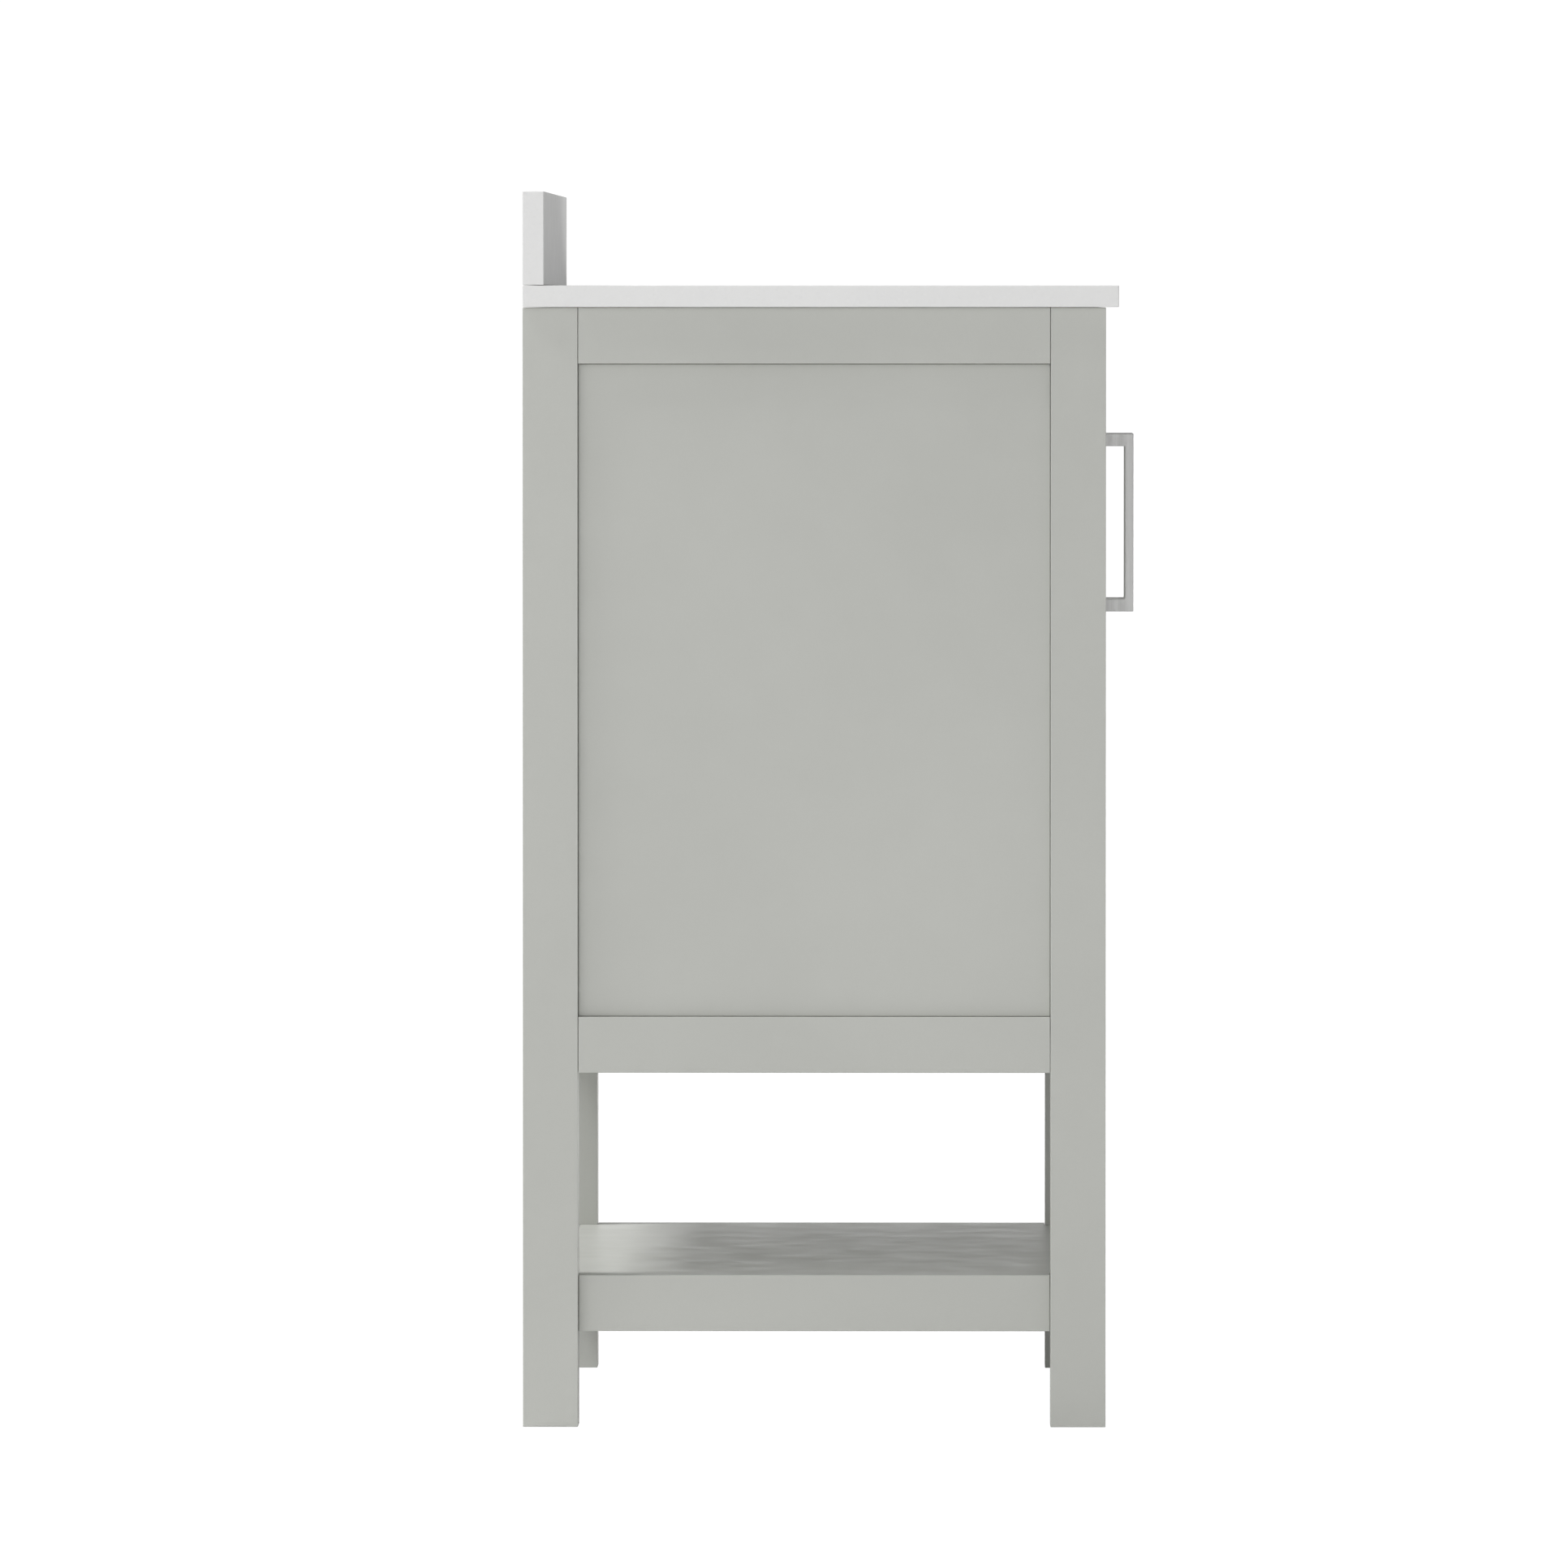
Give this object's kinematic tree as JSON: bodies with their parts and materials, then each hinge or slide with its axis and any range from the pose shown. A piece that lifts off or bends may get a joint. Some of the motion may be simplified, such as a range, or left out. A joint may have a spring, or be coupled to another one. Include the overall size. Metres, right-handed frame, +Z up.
{
  "type": "bathroom vanity cabinet",
  "caption": "Freestanding bathroom vanity with square legs, framed sides, inset doors, an open lower shelf, stone top with backsplash and undermount basin.",
  "frame": {"origin": "centre of the bounding box's footprint, on the floor", "axes": "+Z up, front faces -Y, left side faces -X"},
  "size_m": [0.762, 0.4718, 0.9476],
  "materials": {
    "paint": "satin sprayed paint on wood",
    "stone": "polished white engineered stone",
    "ceramic": "glossy white glaze",
    "nickel": "satin nickel",
    "steel": "zinc plated",
    "bare_wood": "unpainted hardwood",
    "catch_plastic": "moulded"
  },
  "bodies": {
    "cabinet": {"back_middle_rail": "paint", "back_panel": "paint", "back_shelf_rail": "paint", "back_top_rail": "paint", "backsplash": "stone", "basin": "ceramic", "cabinet_floor": "paint", "countertop": "stone", "front_middle_rail": "paint", "front_shelf_rail": "paint", "front_top_rail": "paint", "left_back_corner_brace": "bare_wood", "left_back_leg": "paint", "left_front_corner_brace": "bare_wood", "left_front_leg": "paint", "left_lower_hinge_frame_leaf": "nickel", "left_lower_hinge_pin": "steel", "left_side_middle_rail": "paint", "left_side_panel": "paint", "left_side_shelf_rail": "paint", "left_side_top_rail": "paint", "left_upper_hinge_frame_leaf": "nickel", "left_upper_hinge_pin": "steel", "lower_shelf": "paint", "magnetic_catch": "catch_plastic", "right_back_corner_brace": "bare_wood", "right_back_leg": "paint", "right_front_corner_brace": "bare_wood", "right_front_leg": "paint", "right_lower_hinge_frame_leaf": "nickel", "right_lower_hinge_pin": "steel", "right_side_middle_rail": "paint", "right_side_panel": "paint", "right_side_shelf_rail": "paint", "right_side_top_rail": "paint", "right_upper_hinge_frame_leaf": "nickel", "right_upper_hinge_pin": "steel"},
    "left_door": {"left_door_bottom_rail": "paint", "left_door_hinge_stile": "paint", "left_door_meeting_stile": "paint", "left_door_panel": "paint", "left_door_top_rail": "paint", "left_handle": "nickel", "left_handle_screw_1": "steel", "left_handle_screw_2": "steel", "left_lower_hinge_door_leaf": "nickel", "left_strike_plate": "steel", "left_upper_hinge_door_leaf": "nickel"},
    "right_door": {"right_door_bottom_rail": "paint", "right_door_hinge_stile": "paint", "right_door_meeting_stile": "paint", "right_door_panel": "paint", "right_door_top_rail": "paint", "right_handle": "nickel", "right_handle_screw_1": "steel", "right_handle_screw_2": "steel", "right_lower_hinge_door_leaf": "nickel", "right_strike_plate": "steel", "right_upper_hinge_door_leaf": "nickel"}
  },
  "joints": [
    {"name": "left_door_hinge", "type": "hinge", "parent": "cabinet", "child": "left_door", "pos_m": [-0.33, -0.20825, 0.5653], "axis": [0, 0, -1], "range_deg": [0, 110]},
    {"name": "right_door_hinge", "type": "hinge", "parent": "cabinet", "child": "right_door", "pos_m": [0.33, -0.20825, 0.5653], "axis": [0, 0, 1], "range_deg": [0, 110]}
  ]
}
